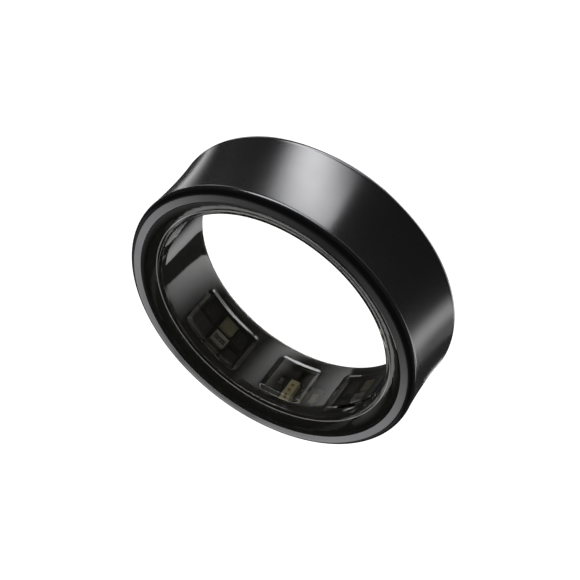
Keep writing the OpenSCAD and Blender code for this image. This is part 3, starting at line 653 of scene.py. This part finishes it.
def lamp(name, azimuth, elevation, size, level):
    """Square soft lamp aimed at the ring; its mirror image isn't seen."""
    data = bpy.data.lights.new(name, "AREA")
    data.shape = "SQUARE"
    data.size = size * MM
    data.energy = level * math.pi * data.size ** 2
    obj = bpy.data.objects.new(name, data)
    bpy.context.scene.collection.objects.link(obj)
    towards = direction(azimuth + CAM_AZIMUTH, elevation)
    obj.matrix_world = Matrix.Translation(CENTRE + towards * LAMP_DISTANCE * MM) @ facing(towards)
    obj.visible_camera = False
    obj.visible_glossy = False
    obj.visible_transmission = False


def emission(name):
    """A material that only glows: the material, its nodes and links, and the socket of its strength."""
    mat = bpy.data.materials.new(name)
    mat.use_nodes = True
    nodes, links = mat.node_tree.nodes, mat.node_tree.links
    nodes.clear()
    out = nodes.new("ShaderNodeOutputMaterial")
    light = nodes.new("ShaderNodeEmission")
    links.new(light.outputs[0], out.inputs["Surface"])
    return mat, nodes, links, light.inputs["Strength"]


def joined(nodes, links, operation, a, b):
    """Output of a Math node that joins two sockets."""
    node = nodes.new("ShaderNodeMath")
    node.operation = operation
    links.new(a, node.inputs[0])
    links.new(b, node.inputs[1])
    return node.outputs[0]


def on_stage(obj, material):
    """Makes a thing part of the studio that only mirrors and glass see."""
    obj.data.materials.append(material)
    obj.visible_camera = False
    obj.visible_diffuse = False
    obj.visible_volume_scatter = False
    obj.visible_shadow = False


def card(name, azimuth, radius, z, wide, high, level, turn=0.0, fades=(0.5, 0.5, 0.15)):
    """Glowing card that the ring's gloss mirrors, turned about the line to the ring.

    Its glow fades towards the left, the right and both other edges, over shares of its size.
    """
    half_w, half_h = wide / 2, high / 2
    w, h = half_w * MM, half_h * MM
    obj = new_object(name, [(-w, -h, 0), (w, -h, 0), (w, h, 0), (-w, h, 0)], [(0, 1, 2, 3)])
    place = Vector(studio_point(azimuth, radius, z))
    basis = facing((place - CENTRE).normalized())
    obj.matrix_world = Matrix.Translation(place) @ basis @ Matrix.Rotation(math.radians(turn), 4, "Z")
    mat, nodes, links, strength = emission(name)
    across = nodes.new("ShaderNodeSeparateXYZ")
    links.new(nodes.new("ShaderNodeTexCoord").outputs["Object"], across.inputs[0])
    left, right, ends = fades
    sides = (("X", -half_w, left, level), ("X", half_w, right, 1.0),
             ("Y", -half_h, ends, 1.0), ("Y", half_h, ends, 1.0))
    glow = None
    for axis, edge, share, top in sides:
        fade = nodes.new("ShaderNodeMapRange")
        fade.interpolation_type = "SMOOTHSTEP"
        fade.inputs["From Min"].default_value = edge * MM
        fade.inputs["From Max"].default_value = edge * (1 - 2 * share) * MM
        fade.inputs["To Max"].default_value = top
        links.new(across.outputs[axis], fade.inputs["Value"])
        side = fade.outputs["Result"]
        glow = side if glow is None else joined(nodes, links, "MULTIPLY", glow, side)
    links.new(glow, strength)
    on_stage(obj, mat)


def sheet(name, rows):
    """Sheet between rows of points, all rows with as many points."""
    count = len(rows[0])
    faces = [(k * count + i, k * count + i + 1, (k + 1) * count + i + 1, (k + 1) * count + i)
             for k in range(len(rows) - 1) for i in range(count - 1)]
    return new_object(name, [point for row in rows for point in row], faces)


def panel(name, rows, level, fades):
    """Glowing sheet round the axis: rows of (from, to, radius, height, share of the level).

    Its glow fades towards both ends, over shares of its length.
    """
    points, glows = [], []
    for first, last, radius, z, share in rows:
        steps = [i / PANEL_STEPS for i in range(PANEL_STEPS + 1)]
        points.append([studio_point(first + (last - first) * t, radius, z) for t in steps])
        for t in steps:
            ends = [min(max(side / fade, 0), 1) for side, fade in ((t, fades[0]), (1 - t, fades[1]))]
            glows.append(level * share * math.prod(e * e * (3 - 2 * e) for e in ends))
    obj = sheet(name, points)
    obj.data.attributes.new("glow", "FLOAT", "POINT").data.foreach_set("value", glows)
    mat, nodes, links, strength = emission(name)
    glow = nodes.new("ShaderNodeAttribute")
    glow.attribute_name = "glow"
    links.new(glow.outputs["Fac"], strength)
    on_stage(obj, mat)


def cloth(name, profile, level, start=0.0, end=360.0):
    """Evenly dim sheet turned round the axis from (radius, height) points."""
    turns = [start + (end - start) * i / CLOTH_STEPS for i in range(CLOTH_STEPS + 1)]
    obj = sheet(name, [[studio_point(azimuth, radius, z) for azimuth in turns] for radius, z in profile])
    mat, _, _, strength = emission(name)
    strength.default_value = level
    on_stage(obj, mat)


def light_the_dull():
    """Soft lamps for what is dull; gloss doesn't show them."""
    lamp("lamp_top", azimuth=290, elevation=62, size=130, level=2.2)
    lamp("lamp_front", azimuth=320, elevation=32, size=110, level=1.8)
    lamp("lamp_left", azimuth=235, elevation=32, size=110, level=1.6)


def surround_the_band():
    """What the band's outside mirrors: dark cloth under the horizon, with three cards before it."""
    cloth("cloth_low", [(104, 24), (102, -20), (96, -50), (79, -88)], 0.034)
    card("card_main", azimuth=314, radius=84, z=-50, wide=59, high=150, level=3.45, turn=-52)
    card("card_left", azimuth=170, radius=84, z=-50, wide=36, high=90, level=1.05, turn=10)
    card("card_right", azimuth=53, radius=84, z=-50, wide=18, high=110, level=1.5, turn=-52)


def underlay_the_bore():
    """What the bore's wall mirrors: panels on a dark collar, with glows below and flags before them."""
    cloth("cloth_bore", [(36, -23), (36, -38)], 0.05)
    cloth("flag_right", [(26, -8.5), (26, -14.6)], 0.03, start=29, end=72)
    cloth("flag_left", [(26, -14), (26, -18)], 0.03, start=285, end=340)
    cloth("glow_bore", [(36, -38.5), (30, -50)], 0.6)
    for side, first, last, radii, level in (("middle", -50, 50, (2, 16, 26), 6.0),
                                            ("right", 160, 265, (2, 14, 24), 4.5),
                                            ("left", 55, 120, (2, 20, 28), 4.5)):
        rows = [(first, last, radius, GLOW_Z, share) for radius, share in zip(radii, (1.0, 1.0, 0.4))]
        panel("glow_" + side, rows, level, (0.3, 0.3))
    panel("panel_bore_a", [(98, 130, 35.8, -22, 1.0), (98, 135, 28, -29.5, 1.0)], 1.5, (0.9, 0.04))
    panel("panel_bore_b",
          [(153, 206, 35.8, -22, 0.6), (156, 206, 32.9, -24.6, 1.0), (167, 222, 29, -28.5, 1.6)],
          2.0, (0.04, 0.9))
    panel("panel_bore_c",
          [(274, 318, 35.8, -22, 0.4), (276, 322, 32.2, -25.3, 1.0), (280, 340, 29, -28.5, 1.9)],
          1.4, (0.5, 0.6))
    panel("panel_bore_d",
          [(-25, 26, 34.4, -23.1, 0.7), (-25, 26, 32.2, -25.3, 0.8), (-25, 26, 29, -28.5, 0.3)],
          1.9, (0.95, 0.1))


# Crescents at the back: angles from azimuth 90 to the near and the far edge, height, share of the level
BACK = 90
CRESCENT_RIGHT = [
    (0, 26, 15.5, 0), (0, 26, 17.5, 1.2), (0, 27, 21.3, 1.2), (8, 28, 22.6, 1.15), (14, 30, 24.2, 1.1),
    (18, 31, 26.5, 1.1), (21, 32, 31, 1.2), (21, 32, 34, 1.0), (18, 31, 37.2, 0.4), (13, 28, 40, 0.28),
    (3, 25, 43, 0.22), (0, 20, 47, 0.2),
]
CRESCENT_LEFT = [
    (0, 28, 13, 0), (0, 29, 15, 1.3), (0, 30, 18.6, 1.4), (8, 31, 19.8, 1.3), (16, 33, 21.2, 1.2),
    (20, 34, 23, 1.15), (23, 35, 27, 1.05), (23, 35, 30, 0.8), (20, 34, 33.3, 0.33), (14, 31, 36, 0.28),
    (3, 26, 39, 0.24), (0, 20, 43, 0.22),
]


def curtain_the_top():
    """What the rims and the bevel mirror: dark cloth overhead, with crescents of glow at the back."""
    cloth("cloth_top", [(104, 24), (92, 64), (62, 100), (1, 118)], 0.015, start=135, end=405)
    for name, profile, level in (("cloth_back_top", [(112, 101), (60, 125), (1, 135)], 0.04),
                                 ("cloth_back_high", [(112, 62), (112, 101)], 0.03),
                                 ("cloth_back_low", [(104, 24), (112, 62)], 0.12)):
        cloth(name, profile, level, start=44, end=136)
    for name, way, radius, level, rows in (("crescent_right", -1, 35, 0.9, CRESCENT_RIGHT),
                                           ("crescent_left", 1, 30, 0.87, CRESCENT_LEFT)):
        sides = [(BACK + way * near, BACK + way * far, radius, z, share) for near, far, z, share in rows]
        panel(name, sides, level, (0.001, 0.1))
    panel("crescent_bottom", [(81, 99, 29.5, 13.5, 0), (81, 99, 29.5, 15.5, 1), (81, 99, 29.5, 18.7, 1)],
          1.3, (0.15, 0.15))
    panel("glow_inside", [(72, 92, 36, 22, 0.9), (72, 92, 36, 31, 1), (74, 92, 36, 38, 0.5)],
          0.5, (0.001, 0.9))
    card("card_horizon", azimuth=BACK, radius=98, z=12, wide=70, high=20, level=0.75,
         fades=(0.3, 0.3, 0.3))
    card("card_under", azimuth=BACK, radius=98, z=-24, wide=70, high=26, level=0.8,
         fades=(0.4, 0.4, 0.3))


def seen_directly(nodes, links):
    """1 for rays from the camera, or by way of a mirror or glass, else 0."""
    path = nodes.new("ShaderNodeLightPath")
    total = path.outputs["Is Camera Ray"]
    for name in ("Is Glossy Ray", "Is Transmission Ray"):
        total = joined(nodes, links, "MAXIMUM", total, path.outputs[name])
    return total


def make_world():
    """White where it is seen, and a plain soft light on what is dull."""
    world = bpy.data.worlds.new("studio")
    world.use_nodes = True
    nodes, links = world.node_tree.nodes, world.node_tree.links
    nodes.clear()
    out = nodes.new("ShaderNodeOutputWorld")
    mix = nodes.new("ShaderNodeMixShader")
    for socket, strength in ((1, WORLD_LEVEL), (2, WHITE_LEVEL)):
        sky = nodes.new("ShaderNodeBackground")
        sky.inputs["Color"].default_value = (1, 1, 1, 1)
        sky.inputs["Strength"].default_value = strength
        links.new(sky.outputs[0], mix.inputs[socket])
    links.new(seen_directly(nodes, links), mix.inputs[0])
    links.new(mix.outputs[0], out.inputs["Surface"])
    bpy.context.scene.world = world


def make_floor():
    """Floor well under the ring: white where it is seen, and dull to the light of the lamps."""
    half, z = FLOOR_HALF * MM, -FLOOR_DROP * MM
    floor = new_object("floor", [(-half, -half, z), (half, -half, z), (half, half, z), (-half, half, z)],
                       [(0, 1, 2, 3)])
    mat = bpy.data.materials.new("pale_floor")
    mat.use_nodes = True
    nodes, links = mat.node_tree.nodes, mat.node_tree.links
    nodes.clear()
    out = nodes.new("ShaderNodeOutputMaterial")
    both = nodes.new("ShaderNodeAddShader")
    lit = nodes.new("ShaderNodeBsdfDiffuse")
    lit.inputs["Color"].default_value = FLOOR_COLOUR
    white = nodes.new("ShaderNodeEmission")
    links.new(seen_directly(nodes, links), white.inputs["Strength"])
    links.new(lit.outputs[0], both.inputs[0])
    links.new(white.outputs[0], both.inputs[1])
    links.new(both.outputs[0], out.inputs["Surface"])
    floor.data.materials.append(mat)


make_camera()
make_world()
light_the_dull()
surround_the_band()
underlay_the_bore()
curtain_the_top()
make_floor()
dress_cad_nodes()
make_band()
make_liner()
make_film()

bpy.context.scene.view_settings.view_transform = "Standard"
